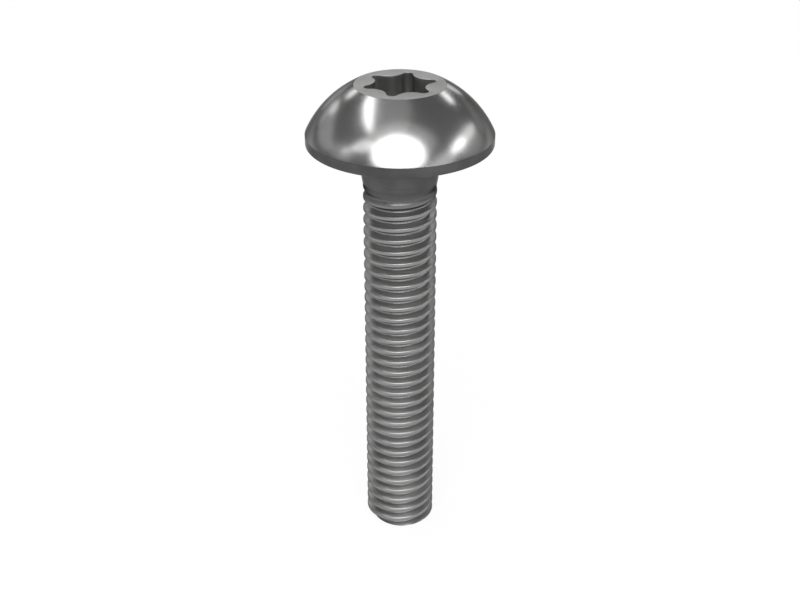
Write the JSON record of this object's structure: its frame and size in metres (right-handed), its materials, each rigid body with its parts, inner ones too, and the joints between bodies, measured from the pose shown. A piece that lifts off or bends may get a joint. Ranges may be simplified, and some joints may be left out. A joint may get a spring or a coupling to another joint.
{
  "type": "hexalobular socket screw",
  "caption": "Machine screw with a domed head, a flat top with a hexalobular drive socket, a short plain neck under the head and a fine thread down to its end.",
  "frame": {"origin": "centre of the flat bearing face under the head, on the screw's axis", "axes": "+Z along the axis from the thread towards the head; X and Y across it, the socket's first lobe 16 degrees from +X"},
  "size_m": [0.0144, 0.0144, 0.0396],
  "materials": {
    "steel": "plain grey steel, polished on the dome, darker and satin on the rim and the neck, and dull on the thread"
  },
  "bodies": {
    "root": {"screw": "steel"}
  },
  "joints": []
}
